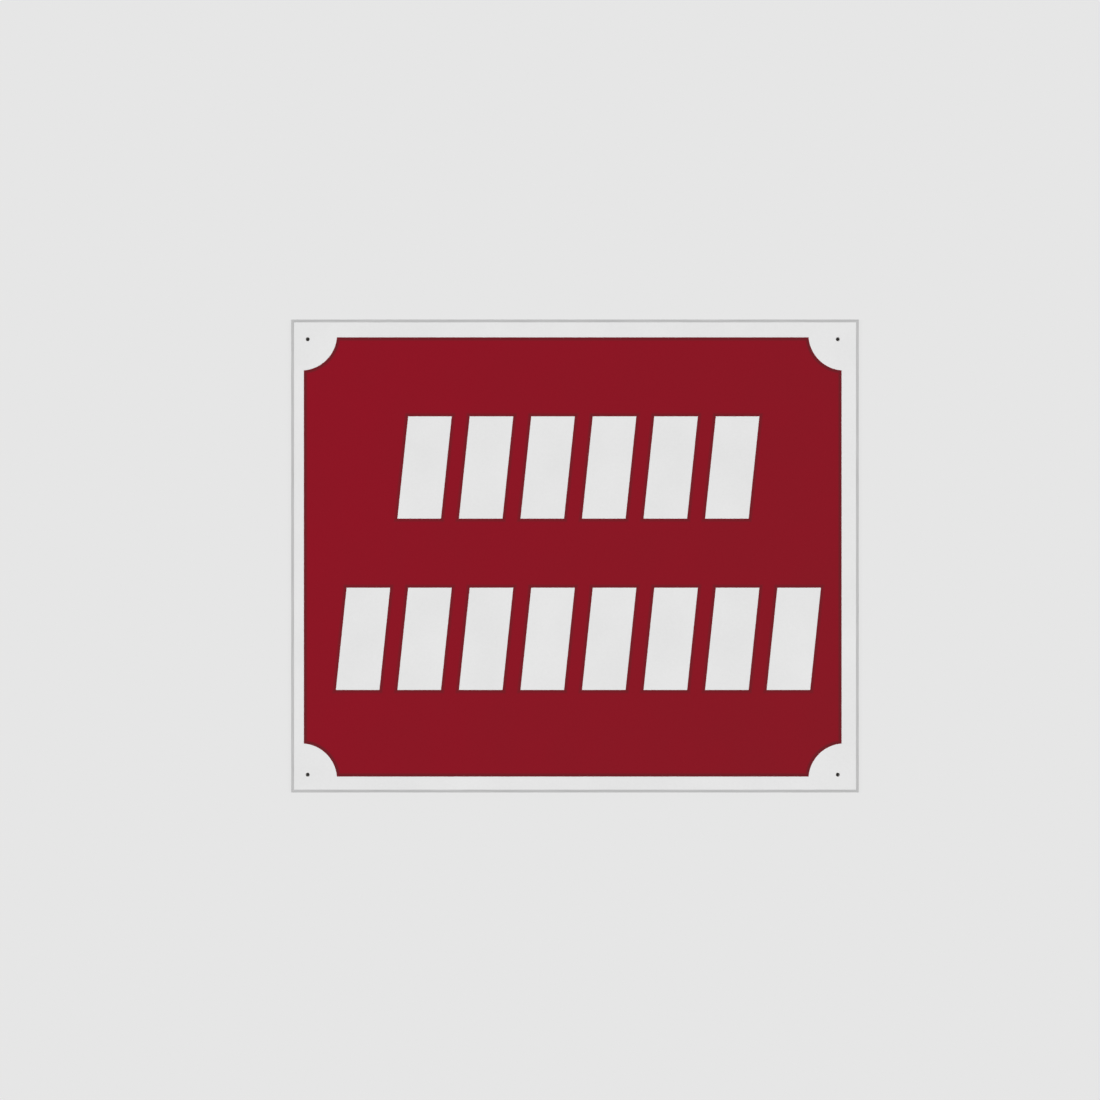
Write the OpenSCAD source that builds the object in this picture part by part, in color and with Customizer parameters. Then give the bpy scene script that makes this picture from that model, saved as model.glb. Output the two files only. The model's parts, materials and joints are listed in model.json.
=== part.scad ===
// Rectangular notice plate: one white plastic sheet with a red screen print on its face.
// The sheet stands upright and faces -Y, with its back in the plane y = 0.
// The origin is the middle of the four nail holes, on the back of the sheet.

/* [Sheet] */
// Width of the sheet
sheet_w = 300; // [280:5:420]
// Height of the sheet
sheet_h = 250; // [230:5:350]
// Thickness of the sheet
sheet_t = 3; // [2:0.5:6]
// Width of the bevel round the front edge, as seen from the front
bevel_w = 1.6; // [0.4:0.1:3]
// Depth of the bevel, measured back from the front face
bevel_d = 1.2; // [0.4:0.1:1.6]
// Size of the small chamfer that takes the sharpness off the back edge
back_edge = 0.3; // [0.1:0.05:0.4]
// Sideways distance from the middle of the print and holes to the middle of the sheet
trim_x = 1.2; // [-2:0.1:2]
// Upward distance from the middle of the print and holes to the middle of the sheet
trim_z = 0.5; // [-2:0.1:2]

/* [Nail holes] */
// Distance from each hole to the nearest two edges, before the trimming offset
hole_inset = 10; // [7:0.5:12]
// Diameter of the nail holes
hole_d = 1.8; // [1.5:0.1:4]

/* [Red field] */
// White margin to the left and right of the red field, before the trimming offset
margin_x = 8; // [4:0.5:12]
// White margin above and below the red field, before the trimming offset
margin_z = 9; // [4:0.5:12]
// Radius of the circle that hollows each corner of the field
hollow_r = 19; // [12:0.5:22]
// How far outside the field's corner that circle's centre lies, each way
hollow_out = 1.5; // [0:0.5:6]
// Thickness of the ink
ink_t = 0.1; // [0.05:0.01:0.3]

/* [White blocks] */
// Number of blocks in each row, from the top row down
row_blocks = [6, 8]; // [1:1:8]
// Width of a block, measured level
block_w = 23; // [14:0.5:25]
// Height of a block
block_h = 54; // [30:1:62]
// Gap between neighbouring blocks, measured level
block_gap = 9.5; // [5:0.5:11]
// Angle by which the blocks lean to the right
block_lean = 6; // [0:1:15]
// Red band between the two rows
row_gap = 36.5; // [20:0.5:45]
// Sideways distance from the middle of the field to the middle of the rows
rows_x = 3; // [-4:0.5:4]
// Upward distance from the middle of the field to the middle of the rows
rows_z = 2; // [-6:0.5:6]

/* [Hidden] */
$fn = 96;
// How far a cutter runs past the surface that it cuts
past = 1;
hole_span_x = sheet_w - 2 * hole_inset;
hole_span_z = sheet_h - 2 * hole_inset;
field_w = sheet_w - 2 * margin_x;
field_h = sheet_h - 2 * margin_z;
row_pitch = block_h + row_gap;
block_pitch = block_w + block_gap;
lean_run = block_h * tan(block_lean);

// Section through the sheet: across its span in x, and in y from the back to the front face
module sheet_section(span) {
    half = span / 2;
    polygon([
        [-half + back_edge, 0],
        [half - back_edge, 0],
        [half, -back_edge],
        [half, bevel_d - sheet_t],
        [half - bevel_w, -sheet_t],
        [bevel_w - half, -sheet_t],
        [-half, bevel_d - sheet_t],
        [-half, -back_edge]
    ]);
}

// The sheet with its bevels mitred at the corners: the two sections, each run along the other's span
module bevelled_blank() {
    intersection() {
        linear_extrude(height = sheet_h, center = true)
            sheet_section(sheet_w);
        rotate([0, 90, 0])
            linear_extrude(height = sheet_w, center = true)
                sheet_section(sheet_h);
    }
}

// One straight hole through the sheet
module nail_hole() {
    translate([0, past, 0])
        rotate([90, 0, 0])
            cylinder(d = hole_d, h = sheet_t + 2 * past);
}

module sheet() {
    color("#e5e5e5")
        difference() {
            translate([trim_x, 0, trim_z])
                bevelled_blank();
            for (side = [-1, 1], end = [-1, 1])
                translate([side * hole_span_x / 2, 0, end * hole_span_z / 2])
                    nail_hole();
        }
}

// Outline of the field: a rectangle with an arc of a circle taken out of each corner
module field_outline() {
    centre_x = field_w / 2 + hollow_out;
    centre_z = field_h / 2 + hollow_out;
    difference() {
        square([field_w, field_h], center = true);
        for (side = [-1, 1], end = [-1, 1])
            translate([side * centre_x, end * centre_z])
                circle(r = hollow_r);
    }
}

// One leaning block, about its own middle
module block_outline() {
    polygon([
        [-(block_w + lean_run) / 2, -block_h / 2],
        [(block_w - lean_run) / 2, -block_h / 2],
        [(block_w + lean_run) / 2, block_h / 2],
        [(lean_run - block_w) / 2, block_h / 2]
    ]);
}

// Every block of every row, each row centred
module block_rows() {
    rows = len(row_blocks);
    for (row = [0 : rows - 1], i = [0 : row_blocks[row] - 1])
        translate([
            rows_x + (i - (row_blocks[row] - 1) / 2) * block_pitch,
            rows_z + ((rows - 1) / 2 - row) * row_pitch
        ])
            block_outline();
}

// The ink lies on the front face, and the white of the sheet shows through its windows
module red_print() {
    color("#8a1825")
        translate([0, -sheet_t, 0])
            rotate([90, 0, 0])
                linear_extrude(height = ink_t)
                    difference() {
                        field_outline();
                        block_rows();
                    }
}

sheet();
red_print();
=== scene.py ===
import json
import math

import bpy
import mathutils
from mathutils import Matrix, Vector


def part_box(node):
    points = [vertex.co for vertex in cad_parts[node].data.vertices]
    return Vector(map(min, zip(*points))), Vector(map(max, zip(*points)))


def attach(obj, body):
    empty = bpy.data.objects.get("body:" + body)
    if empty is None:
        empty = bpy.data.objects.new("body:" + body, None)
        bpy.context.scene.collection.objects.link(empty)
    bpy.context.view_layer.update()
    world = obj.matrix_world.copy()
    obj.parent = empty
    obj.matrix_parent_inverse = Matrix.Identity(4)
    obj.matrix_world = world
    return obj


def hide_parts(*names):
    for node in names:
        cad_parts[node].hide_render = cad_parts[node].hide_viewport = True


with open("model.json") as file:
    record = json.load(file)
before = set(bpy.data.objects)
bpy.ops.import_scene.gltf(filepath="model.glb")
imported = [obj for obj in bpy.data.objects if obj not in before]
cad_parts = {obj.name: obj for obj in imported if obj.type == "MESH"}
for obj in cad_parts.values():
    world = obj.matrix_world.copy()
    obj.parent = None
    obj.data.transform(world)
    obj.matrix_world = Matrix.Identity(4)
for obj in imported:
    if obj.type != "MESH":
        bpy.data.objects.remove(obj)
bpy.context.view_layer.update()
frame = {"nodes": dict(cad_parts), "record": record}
scene = bpy.context.scene
scene.view_settings.view_transform = "Standard"


# The view
# The plate is looked at square on. Its outline is 568 of the picture's 1100 pixels wide and sits a little
# right of the middle, so the camera stands in front of it and a little to the left.
PICTURE_PX = 1100
OUTLINE_PX = 568
OUTLINE_MIDDLE_PX = (575, 556)
LENS_MM = 100
SENSOR_MM = 36
QUARTER_TURN = math.pi / 2

sheet_low, sheet_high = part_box("sheet")
sheet_middle = (sheet_low + sheet_high) / 2
metres_per_px = (sheet_high.x - sheet_low.x) / OUTLINE_PX
camera = bpy.data.objects.new("camera", bpy.data.cameras.new("camera"))
scene.collection.objects.link(camera)
camera.data.lens = LENS_MM
camera.data.sensor_width = SENSOR_MM
camera.location = (
    sheet_middle.x - (OUTLINE_MIDDLE_PX[0] - PICTURE_PX / 2) * metres_per_px,
    sheet_low.y - PICTURE_PX * metres_per_px * LENS_MM / SENSOR_MM,
    sheet_middle.z + (OUTLINE_MIDDLE_PX[1] - PICTURE_PX / 2) * metres_per_px,
)
camera.rotation_euler = (QUARTER_TURN, 0, 0)
scene.camera = camera


# The sheet
# One piece of rigid white plastic, sawn to size, with its front edge bevelled and four nail holes punched
# through. The skin is satin with a faint ripple. Sawn faces are rougher, and are painted grey as shade,
# which makes the bevel an even grey outline. The holes and a thin ring round their mouths are painted dark
# as shade.
MM = 0.001
FACE_DEPTH = 0.02 * MM
# Painted shade: how far the dark ring round each hole's mouth reaches.
HOLE_SHADE_SPREAD = 0.3 * MM
SHEET_WHITE = (227, 227, 227)
# Painted shade: grey of every cut face, the bevel included, which makes the grey outline round the sheet.
CUT_PAINTED_SHADE_GREY = (196, 196, 196)
# Painted shade: dark colour inside the holes and round their mouths.
HOLE_PAINTED_SHADE = (92, 88, 85)
SKIN_MOTTLE = 3
CUT_MOTTLE = 8
MOTTLE_RANGE = (0.3, 0.7)
CLOUD_SHARE = 0.7
CLOUDS_PER_METRE = 28
RIPPLES_PER_METRE = 420
GRAINS_PER_METRE = 900
SAW_MARKS_PER_METRE = 60
SAW_MARK_DETAIL = 3.0
SAW_MARK_STRETCH = (1, 60, 1)
SKIN_ROUGHNESS = 0.36
CUT_ROUGHNESS = 0.61
GRAIN_ROUGHNESS = 0.08
PLASTIC_RELIEF_DEPTH = 0.12 * MM
PLASTIC_SPECULAR = 0.4

front_y = sheet_low.y
back_y = sheet_high.y
mounts = {mount["name"]: mount for mount in frame["record"]["mounts"]}
hole_span_x = mounts["nail_holes"]["dims"]["spacing_x_mm"] * MM
hole_span_z = mounts["nail_holes"]["dims"]["spacing_y_mm"] * MM
hole_radius = mounts["nail_holes"]["dims"]["hole_r_mm"] * MM


def paint(colour, lighter=0):
    """The linear colour of an sRGB one from 0 to 255, made lighter by so many levels."""
    shares = [(level + lighter) / 255 for level in colour]
    return (*mathutils.Color(shares).from_srgb_to_scene_linear(), 1)


def new_node(tree, kind, inputs=None, **settings):
    """A new node in a tree, with its settings, and with its inputs set or joined by name or number."""
    node = tree.nodes.new(kind)
    for name, value in settings.items():
        setattr(node, name, value)
    for name, value in (inputs or {}).items():
        if isinstance(value, Number):
            value = value.socket
        if isinstance(value, bpy.types.NodeSocket):
            tree.links.new(value, node.inputs[name])
        else:
            node.inputs[name].default_value = value
    return node


def add(tree, kind, inputs=None, **settings):
    """The first output of a new node."""
    return new_node(tree, kind, inputs, **settings).outputs[0]


def calculate(operation, *values):
    """The Number that a new Math node makes of the values, one of which at least is a Number."""
    tree = next(value.socket.id_data for value in values if isinstance(value, Number))
    return Number(add(tree, "ShaderNodeMath", dict(enumerate(values)), operation=operation))


class Number:
    """A number that a node tree works out. Arithmetic on it adds Math nodes to the tree."""

    def __init__(self, socket):
        self.socket = socket

    def __add__(self, other):
        return calculate("ADD", self, other)

    def __sub__(self, other):
        return calculate("SUBTRACT", self, other)

    def __rsub__(self, other):
        return calculate("SUBTRACT", other, self)

    def __mul__(self, other):
        return calculate("MULTIPLY", self, other)

    def __truediv__(self, other):
        return calculate("DIVIDE", self, other)

    def __rtruediv__(self, other):
        return calculate("DIVIDE", other, self)

    __radd__ = __add__
    __rmul__ = __mul__

    def ramp(self, start, end, kind="SMOOTHSTEP"):
        """0 up to start, 1 from end on, and a steady change between them. End may lie below start."""
        values = {"Value": self, "From Min": start, "From Max": end}
        return Number(add(self.socket.id_data, "ShaderNodeMapRange", values, interpolation_type=kind))


def split(tree, place):
    """The X, Y and Z of a place."""
    return [Number(part) for part in new_node(tree, "ShaderNodeSeparateXYZ", {0: place}).outputs]


def blend(tree, share, first, second):
    """The colour that lies between two others, by a share from 0 to 1."""
    first_colour, second_colour, result = 6, 7, 2
    inputs = {"Factor": share, first_colour: first, second_colour: second}
    return new_node(tree, "ShaderNodeMix", inputs, data_type="RGBA").outputs[result]


def noise(tree, place, lumps_per_metre, detail=2.0, stretch=(1, 1, 1)):
    """Smooth noise from 0 to 1 over the object."""
    inputs = {
        "Vector": add(tree, "ShaderNodeMapping", {"Vector": place, "Scale": stretch}),
        "Scale": lumps_per_metre,
        "Detail": detail,
    }
    return Number(add(tree, "ShaderNodeTexNoise", inputs))


def dress(material, colour, roughness, relief, depth):
    """Joins a material's colour, roughness and relief of a given depth to its shader."""
    tree = material.node_tree
    shader = tree.nodes["Principled BSDF"]
    normal = add(tree, "ShaderNodeBump", {"Height": relief, "Distance": depth})
    tree.links.new(colour, shader.inputs["Base Color"])
    tree.links.new(roughness.socket, shader.inputs["Roughness"])
    tree.links.new(normal, shader.inputs["Normal"])
    return shader


def new_material(name):
    """A material, its node tree, and the socket of the object's own coordinates."""
    material = bpy.data.materials.new(name)
    material.use_nodes = True
    place = new_node(material.node_tree, "ShaderNodeTexCoord").outputs["Object"]
    return material, material.node_tree, place


def mottle(tree, share, colour, levels):
    """A colour that varies by so many levels either way, as a noise varies."""
    return blend(tree, share.ramp(*MOTTLE_RANGE, "LINEAR"), paint(colour, -levels), paint(colour, levels))


def make_white_plastic():
    """Satin white on both faces, grey painted shade on the cut faces, dark painted shade in and round the
    holes.
    """
    material, tree, place = new_material("white_plastic")
    x, y, z = split(tree, place)
    cut = y.ramp(front_y, front_y + FACE_DEPTH) * y.ramp(back_y, back_y - FACE_DEPTH)
    across = calculate("ABSOLUTE", x) - hole_span_x / 2
    up = calculate("ABSOLUTE", z) - hole_span_z / 2
    from_hole = calculate("SQRT", across * across + up * up)
    # Painted shade: dark inside each hole and in a thin ring round its mouth.
    hole_painted_shade = from_hole.ramp(hole_radius + HOLE_SHADE_SPREAD, hole_radius)

    clouds = noise(tree, place, CLOUDS_PER_METRE)
    ripples = noise(tree, place, RIPPLES_PER_METRE)
    grains = noise(tree, place, GRAINS_PER_METRE)
    saw_marks = noise(tree, place, SAW_MARKS_PER_METRE, SAW_MARK_DETAIL, SAW_MARK_STRETCH)
    skin = mottle(tree, clouds * CLOUD_SHARE + grains * (1 - CLOUD_SHARE), SHEET_WHITE, SKIN_MOTTLE)
    # Painted shade: the cut faces, the bevel included, are painted grey, mottled along the saw marks.
    cut_painted_shade = mottle(tree, saw_marks, CUT_PAINTED_SHADE_GREY, CUT_MOTTLE)
    colour = blend(tree, hole_painted_shade, blend(tree, cut, skin, cut_painted_shade), paint(HOLE_PAINTED_SHADE))
    roughness = SKIN_ROUGHNESS + cut * (CUT_ROUGHNESS - SKIN_ROUGHNESS) + grains * GRAIN_ROUGHNESS
    relief = ripples * (1 - cut) + saw_marks * cut
    shader = dress(material, colour, roughness, relief, PLASTIC_RELIEF_DEPTH)
    shader.inputs["Specular IOR Level"].default_value = PLASTIC_SPECULAR
    return material


white_plastic = make_white_plastic()
sheet = frame["nodes"]["sheet"]
sheet.material_slots[0].material = white_plastic


# The hole lips
# Punching a nail hole through plastic pushes up a thin lip round its mouth. There is one on the front of
# each of the four holes, part of the same plastic as the sheet.
LIP_WIDTH = 0.4 * MM
LIP_HEIGHT = 0.06 * MM
LIP_PROFILE_POINTS = 9
LIP_RING_POINTS = 48


def vector(tree, **parts):
    """A vector put together from numbers that are named X, Y and Z."""
    return add(tree, "ShaderNodeCombineXYZ", parts)


def stand_on_sheet(tree, geometry):
    """Turns what was drawn flat, with its front upwards, so that it stands on the front of the sheet."""
    return add(tree, "GeometryNodeTransform", {
        "Geometry": geometry,
        "Rotation": (QUARTER_TURN, 0, 0),
        "Translation": (0, front_y, 0),
    })


def shape(name, draw, sizes, material):
    """A plain mesh object, drawn by a geometry node tree with one named input for each size. The tree runs
    once, on a carrier that is then removed."""
    tree = bpy.data.node_groups.new(name, "GeometryNodeTree")
    tree.interface.new_socket(name="Geometry", in_out="OUTPUT", socket_type="NodeSocketGeometry")
    identifiers = {}
    for size_name, value in sizes.items():
        kind = "NodeSocketInt" if isinstance(value, int) else "NodeSocketFloat"
        socket = tree.interface.new_socket(name=size_name, in_out="INPUT", socket_type=kind)
        identifiers[size_name] = socket.identifier
    given = new_node(tree, "NodeGroupInput").outputs
    drawn = draw(tree, {size_name: Number(given[size_name]) for size_name in sizes})
    real = add(tree, "GeometryNodeRealizeInstances", {"Geometry": drawn})
    finished = add(tree, "GeometryNodeSetMaterial", {"Geometry": real, "Material": material})
    new_node(tree, "NodeGroupOutput", {"Geometry": finished})

    carrier = bpy.data.objects.new(name + "_carrier", bpy.data.meshes.new(name + "_carrier"))
    scene.collection.objects.link(carrier)
    modifier = carrier.modifiers.new("shape", "NODES")
    modifier.node_group = tree
    for size_name, value in sizes.items():
        modifier[identifiers[size_name]] = value
    graph = bpy.context.evaluated_depsgraph_get()
    evaluated = carrier.evaluated_get(graph)
    mesh = bpy.data.meshes.new_from_object(evaluated, preserve_all_data_layers=True, depsgraph=graph)
    bpy.data.objects.remove(carrier)
    piece = bpy.data.objects.new(name, mesh)
    scene.collection.objects.link(piece)
    return piece


def draw_lips(tree, size):
    """A ring of half-round section at each corner of the hole pattern."""
    arc = add(tree, "GeometryNodeCurveArc", {
        "Resolution": LIP_PROFILE_POINTS,
        "Radius": 1.0,
        "Start Angle": math.pi,
        "Sweep Angle": math.pi,
    })
    half_round = add(tree, "GeometryNodeSetSplineCyclic", {"Geometry": arc, "Cyclic": True})
    section = vector(tree, X=size["Lip Width"] / 2, Y=size["Lip Height"], Z=1)
    profile = add(tree, "GeometryNodeTransform", {"Geometry": half_round, "Scale": section})
    circle = add(tree, "GeometryNodeCurvePrimitiveCircle",
                 {"Resolution": LIP_RING_POINTS, "Radius": size["Hole Radius"] + size["Lip Width"] / 2})
    ring = add(tree, "GeometryNodeSetCurveNormal", {"Curve": circle}, mode="Z_UP")
    lip = add(tree, "GeometryNodeCurveToMesh", {"Curve": ring, "Profile Curve": profile})
    corners = add(tree, "GeometryNodeMeshGrid",
                  {"Size X": size["Span X"], "Size Y": size["Span Z"], "Vertices X": 2, "Vertices Y": 2})
    lips = add(tree, "GeometryNodeInstanceOnPoints", {"Points": corners, "Instance": lip})
    return stand_on_sheet(tree, lips)


hole_lips = shape("hole_lips", draw_lips, {
    "Span X": hole_span_x,
    "Span Z": hole_span_z,
    "Hole Radius": hole_radius,
    "Lip Width": LIP_WIDTH,
    "Lip Height": LIP_HEIGHT,
}, white_plastic)
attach(hole_lips, "root")


# The red print
# A film of red ink, screen-printed on the face. The ink is thicker along every edge of the stencil, which
# makes a fine dark rim round the field and round each window. The white sheet shows through the windows.
HOLLOW_RADIUS = 19 * MM
HOLLOW_OUTSET = 1.5 * MM
TOP_BLOCKS = 6
BOTTOM_BLOCKS = 8
BLOCK_WIDTH = 23 * MM
BLOCK_HEIGHT = 54 * MM
BLOCK_GAP = 9.5 * MM
BLOCK_LEAN = math.radians(6)
ROW_GAP = 36.5 * MM
ROWS_X = 3 * MM
ROWS_Z = 2 * MM
FILM_SHARE = 0.6
CREST_INSET = 0.9 * MM
RIM_WIDTH = 2.1 * MM
ARC_POINTS = 49
WELD = 0.001 * MM
RED_LIGHT_SIDE = (140, 11, 31)
RED_DARK_SIDE = (132, 17, 31)
RIM_RED = (101, 27, 34)
DRIFT_RIGHT_PER_METRE = 2.15
DRIFT_DOWN_PER_METRE = 1.68
INK_CLOUDS_PER_METRE = 40
INK_CLOUD_DETAIL = 3.0
INK_GRAINS_PER_METRE = 1100
INK_CLOUD_DRIFT = 0.5
INK_GRAIN_DRIFT = 0.25
INK_ROUGHNESS = 0.42
INK_CLOUD_ROUGHNESS = 0.12
INK_GRAIN_ROUGHNESS = 0.08
INK_CLOUD_RELIEF = 0.3
INK_RELIEF_DEPTH = 0.08 * MM
INK_SPECULAR = 0.06


def join(tree, *parts):
    """Several geometries as one."""
    joined = new_node(tree, "GeometryNodeJoinGeometry")
    for part in parts:
        tree.links.new(part, joined.inputs[0])
    return joined.outputs[0]


def draw_field_edge(tree, size, inset):
    """The field's outline, moved inwards by inset: one ring of points along the four corner arcs."""
    index = Number(add(tree, "GeometryNodeInputIndex"))
    corner = calculate("FLOOR", (index + 0.5) / ARC_POINTS)
    along = (index - corner * ARC_POINTS) / (ARC_POINTS - 1)
    turn = corner * QUARTER_TURN
    side = calculate("SIGN", calculate("COSINE", turn + QUARTER_TURN / 2))
    end = calculate("SIGN", calculate("SINE", turn + QUARTER_TURN / 2))
    radius = size["Hollow Radius"] + inset
    cut_off = calculate("ARCSINE", (size["Hollow Outset"] + inset) / radius)
    angle = turn + 3 * QUARTER_TURN - cut_off - along * (QUARTER_TURN - 2 * cut_off)
    x = side * (size["Field Width"] / 2 + size["Hollow Outset"]) + radius * calculate("COSINE", angle)
    y = end * (size["Field Height"] / 2 + size["Hollow Outset"]) + radius * calculate("SINE", angle)
    ring = add(tree, "GeometryNodeCurvePrimitiveCircle", {"Resolution": 4 * ARC_POINTS, "Radius": 1.0})
    return add(tree, "GeometryNodeSetPosition", {"Geometry": ring, "Position": vector(tree, X=x, Y=y)})


def draw_window_edges(tree, size, inset):
    """The outlines of both rows of leaning windows, moved outwards, into the ink, by inset."""
    lean = size["Block Lean"]
    height = size["Block Height"] + 2 * inset
    width = size["Block Width"] + 2 * inset / calculate("COSINE", lean)
    window = add(tree, "GeometryNodeCurvePrimitiveQuadrilateral", {
        "Width": width,
        "Height": height,
        "Offset": height * calculate("TANGENT", lean),
    }, mode="PARALLELOGRAM")
    pitch = size["Block Width"] + size["Block Gap"]
    rise = (size["Block Height"] + size["Row Gap"]) / 2
    rows = []
    for count, direction in ((size["Top Blocks"], 1), (size["Bottom Blocks"], -1)):
        rows.append(add(tree, "GeometryNodeMeshLine", {
            "Count": count,
            "Start Location": vector(tree, X=size["Rows X"] - (count - 1) * pitch / 2,
                                     Y=size["Rows Z"] + rise * direction),
            "Offset": vector(tree, X=pitch),
        }))
    return add(tree, "GeometryNodeInstanceOnPoints", {"Points": join(tree, *rows), "Instance": window})


def draw_print(tree, size):
    """A closed film of ink with a low bead along its edges. Its attribute rim is 1 on the bead's crest, and
    half of that at the very edge."""
    def draw_edges(inset):
        edges = join(tree, draw_field_edge(tree, size, inset), draw_window_edges(tree, size, inset))
        return add(tree, "GeometryNodeRealizeInstances", {"Geometry": edges})

    edge, crest, foot = [draw_edges(inset) for inset in (0, size["Crest Inset"], size["Rim Width"])]
    bands = [add(tree, "GeometryNodeFillCurve", {"Curve": join(tree, *lines)})
             for lines in ((edge, crest), (crest, foot), (foot,))]
    flat = add(tree, "GeometryNodeMergeByDistance", {"Geometry": join(tree, *bands), "Distance": WELD})

    x, y, _ = split(tree, add(tree, "GeometryNodeInputPosition"))
    near_edge = new_node(tree, "GeometryNodeProximity", {
        "Geometry": add(tree, "GeometryNodeCurveToMesh", {"Curve": edge}),
        "Sample Position": vector(tree, X=x, Y=y),
    }, target_element="EDGES")
    distance = Number(near_edge.outputs["Distance"])
    inner_side = distance.ramp(size["Rim Width"], size["Crest Inset"], "LINEAR")
    bead = inner_side * distance.ramp(0, size["Crest Inset"], "LINEAR")
    rim = inner_side * distance.ramp(0 - size["Crest Inset"], size["Crest Inset"], "LINEAR")

    film = new_node(tree, "GeometryNodeExtrudeMesh",
                    {"Mesh": flat, "Offset": vector(tree, Z=size["Film Thickness"]), "Individual": False})
    crown = vector(tree, Z=bead * (size["Ink Thickness"] - size["Film Thickness"]))
    beaded = add(tree, "GeometryNodeSetPosition",
                 {"Geometry": film.outputs["Mesh"], "Selection": film.outputs["Top"], "Offset": crown})
    under = add(tree, "GeometryNodeFlipFaces", {"Mesh": flat})
    closed = add(tree, "GeometryNodeMergeByDistance",
                 {"Geometry": join(tree, beaded, under), "Distance": WELD})
    marked = add(tree, "GeometryNodeStoreNamedAttribute",
                 {"Geometry": closed, "Name": "rim", "Value": rim}, domain="POINT")
    return stand_on_sheet(tree, marked)


def make_red_ink():
    """Matt red that drifts from one corner to the other, with cloudy patches, and is darker on the rim."""
    material, tree, place = new_material("red_ink")
    x, _, z = split(tree, place)
    clouds = noise(tree, place, INK_CLOUDS_PER_METRE, INK_CLOUD_DETAIL)
    grains = noise(tree, place, INK_GRAINS_PER_METRE)
    patches = (clouds - 0.5) * INK_CLOUD_DRIFT + (grains - 0.5) * INK_GRAIN_DRIFT
    drift = 0.5 + x * DRIFT_RIGHT_PER_METRE - z * DRIFT_DOWN_PER_METRE + patches
    red = blend(tree, drift, paint(RED_LIGHT_SIDE), paint(RED_DARK_SIDE))
    rim = new_node(tree, "ShaderNodeAttribute", attribute_name="rim").outputs["Fac"]
    colour = blend(tree, rim, red, paint(RIM_RED))
    roughness = INK_ROUGHNESS + clouds * INK_CLOUD_ROUGHNESS + grains * INK_GRAIN_ROUGHNESS
    relief = clouds * INK_CLOUD_RELIEF + grains * (1 - INK_CLOUD_RELIEF)
    shader = dress(material, colour, roughness, relief, INK_RELIEF_DEPTH)
    shader.inputs["Specular IOR Level"].default_value = INK_SPECULAR
    return material


print_low, print_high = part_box("red_print")
ink_thickness = print_high.y - print_low.y
screen_print = shape("screen_print", draw_print, {
    "Field Width": print_high.x - print_low.x,
    "Field Height": print_high.z - print_low.z,
    "Hollow Radius": HOLLOW_RADIUS,
    "Hollow Outset": HOLLOW_OUTSET,
    "Top Blocks": TOP_BLOCKS,
    "Bottom Blocks": BOTTOM_BLOCKS,
    "Block Width": BLOCK_WIDTH,
    "Block Height": BLOCK_HEIGHT,
    "Block Gap": BLOCK_GAP,
    "Block Lean": BLOCK_LEAN,
    "Row Gap": ROW_GAP,
    "Rows X": ROWS_X,
    "Rows Z": ROWS_Z,
    "Ink Thickness": ink_thickness,
    "Film Thickness": ink_thickness * FILM_SHARE,
    "Crest Inset": CREST_INSET,
    "Rim Width": RIM_WIDTH,
}, make_red_ink())
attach(screen_print, "root")
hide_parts("red_print")


# The wall, the floor and the light
# A pale wall stands flush behind the plate, with a dark panel of painted shade behind the holes, and a pale
# floor lies below the picture. Two soft lamps light each side from left and right, and a plain sky fills in
# the rest.
WALL_GAP = 0.6 * MM
# Painted shade: a dark panel stands just behind the sheet, so that the holes read dark.
SHADE_PANEL_GAP = 0.2 * MM
SHADE_PANEL_MARGIN = 3 * MM
WALL_REACH = 0.9
FLOOR_REACH = 4
FLOOR_Z = -0.30
BACKDROP = (230, 230, 230)
SHADE_PANEL_GREY = (120, 116, 112)
WALL_SHADE_SHARE = 0.12
SHADE_PANEL_SHADE_SHARE = 1.0
FLOOR_SHADE_SHARE = 0.35
FLOOR_LIGHT_SHARE = 0.7
SKY_LEVEL = 0.45
LAMP_TURN = math.radians(35)
LAMP_LEVEL = 1.055
LAMP_SPREAD = math.radians(20)
BACK_LAMP_LIFT = math.radians(20)


def make_backdrop(name, colour, shade_share, light_share=1.0):
    """Matt material of the stage. Part of its colour shows shade, and the rest is kept, for an even ground.
    The light share is how much of the full light reaches it. From behind, it can't be seen."""
    material = bpy.data.materials.new(name)
    material.use_nodes = True
    tree = material.node_tree
    tree.nodes.clear()
    shaded = [level * shade_share for level in paint(colour)[:3]] + [1]
    matt = add(tree, "ShaderNodeBsdfDiffuse", {"Color": shaded})
    kept = add(tree, "ShaderNodeEmission",
               {"Color": paint(colour), "Strength": 1 - shade_share * light_share})
    dark = add(tree, "ShaderNodeEmission", {"Strength": 0.0})
    seen = new_node(tree, "ShaderNodeLightPath").outputs["Is Camera Ray"]
    glow = add(tree, "ShaderNodeMixShader", {0: seen, 1: dark, 2: kept})
    front = add(tree, "ShaderNodeAddShader", {0: matt, 1: glow})
    back = add(tree, "ShaderNodeBsdfTransparent")
    behind = new_node(tree, "ShaderNodeNewGeometry").outputs["Backfacing"]
    surface = add(tree, "ShaderNodeMixShader", {0: behind, 1: front, 2: back})
    new_node(tree, "ShaderNodeOutputMaterial", {"Surface": surface})
    return material


def panel(name, material, *corners):
    """A flat panel of the stage, through four corners, which neither lights nor shades anything."""
    mesh = bpy.data.meshes.new(name)
    mesh.from_pydata(corners, [], [(0, 1, 2, 3)])
    mesh.materials.append(material)
    backdrop = bpy.data.objects.new(name, mesh)
    scene.collection.objects.link(backdrop)
    backdrop.visible_shadow = False
    backdrop.visible_diffuse = False
    backdrop.visible_glossy = False


def upright(name, material, y, left, right, bottom, top):
    """A panel that stands at y and faces the camera."""
    panel(name, material, (left, y, bottom), (right, y, bottom), (right, y, top), (left, y, top))


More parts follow.
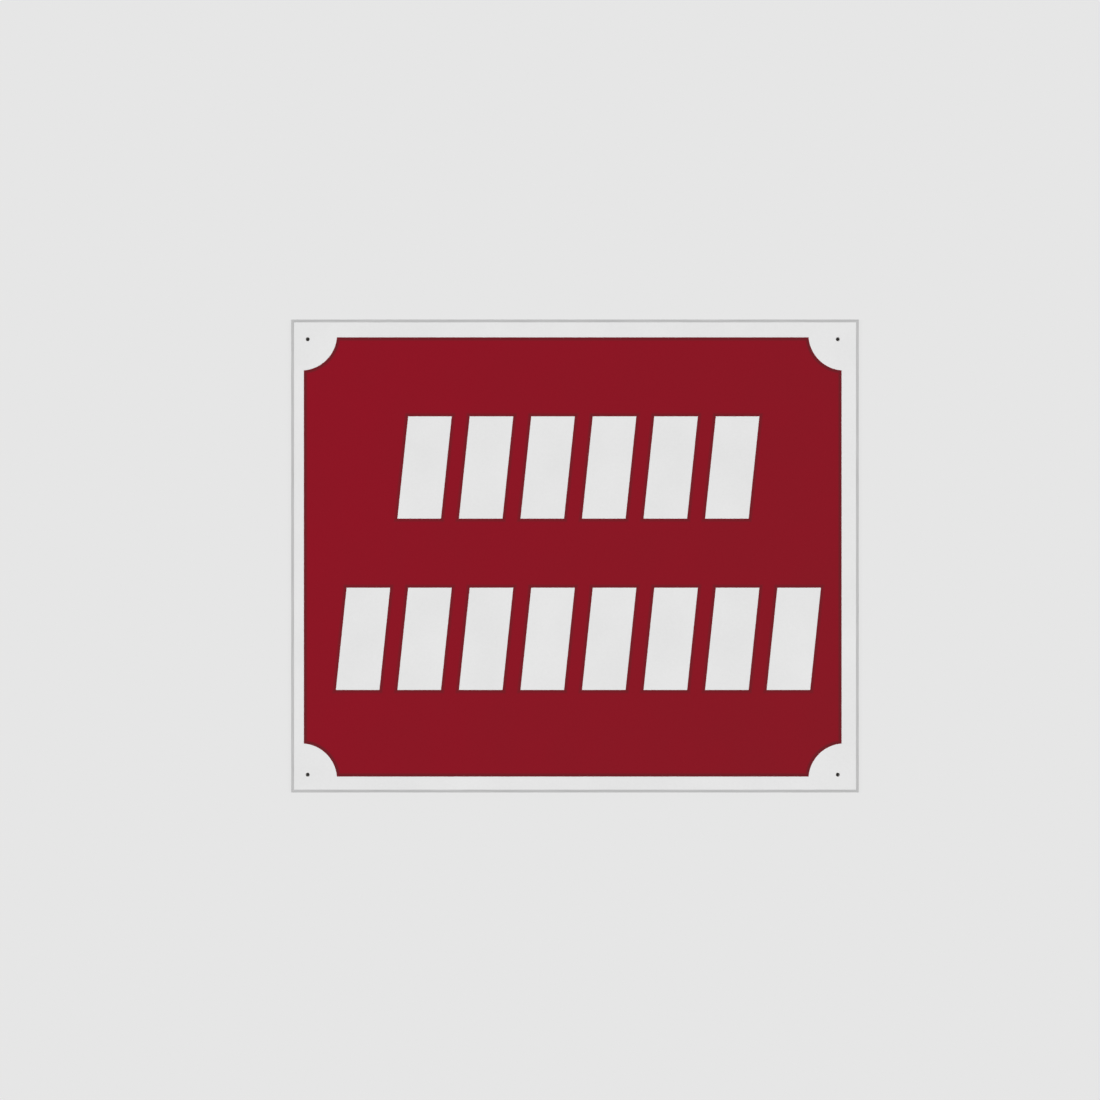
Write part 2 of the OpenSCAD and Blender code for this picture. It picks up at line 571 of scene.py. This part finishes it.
wall_finish = make_backdrop("wall", BACKDROP, WALL_SHADE_SHARE)
upright("wall", wall_finish, WALL_GAP, -WALL_REACH, WALL_REACH, FLOOR_Z, WALL_REACH)

# Painted shade: the dark panel behind the holes, seen only through them.
shade_panel_finish = make_backdrop("shade_panel", SHADE_PANEL_GREY, SHADE_PANEL_SHADE_SHARE)
upright("shade_panel", shade_panel_finish, SHADE_PANEL_GAP, sheet_low.x + SHADE_PANEL_MARGIN, sheet_high.x - SHADE_PANEL_MARGIN,
        sheet_low.z + SHADE_PANEL_MARGIN, sheet_high.z - SHADE_PANEL_MARGIN)

floor_finish = make_backdrop("floor", BACKDROP, FLOOR_SHADE_SHARE, FLOOR_LIGHT_SHARE)
panel("floor", floor_finish, (-FLOOR_REACH, -FLOOR_REACH, FLOOR_Z), (FLOOR_REACH, -FLOOR_REACH, FLOOR_Z),
      (FLOOR_REACH, FLOOR_REACH, FLOOR_Z), (-FLOOR_REACH, FLOOR_REACH, FLOOR_Z))

for name, turn, lift in (("lamp_left", -LAMP_TURN, 0), ("lamp_right", LAMP_TURN, 0),
                         ("back_lamp_left", math.pi + LAMP_TURN, BACK_LAMP_LIFT),
                         ("back_lamp_right", math.pi - LAMP_TURN, BACK_LAMP_LIFT)):
    lamp = bpy.data.objects.new(name, bpy.data.lights.new(name, "SUN"))
    lamp.data.energy = LAMP_LEVEL
    lamp.data.angle = LAMP_SPREAD
    lamp.rotation_euler = (QUARTER_TURN - lift, 0, turn)
    scene.collection.objects.link(lamp)

world = bpy.data.worlds.new("sky")
scene.world = world
world.use_nodes = True
sky = world.node_tree
sky.nodes.clear()
rays = new_node(sky, "ShaderNodeLightPath").outputs
looked_at = Number(rays["Is Camera Ray"])
for name in ("Is Glossy Ray", "Is Transmission Ray"):
    looked_at = calculate("MAXIMUM", looked_at, Number(rays[name]))
light = add(sky, "ShaderNodeBackground", {"Color": (1, 1, 1, 1), "Strength": SKY_LEVEL})
pale = add(sky, "ShaderNodeBackground", {"Color": paint(BACKDROP), "Strength": 1.0})
whole = add(sky, "ShaderNodeMixShader", {0: looked_at, 1: light, 2: pale})
new_node(sky, "ShaderNodeOutputWorld", {"Surface": whole})
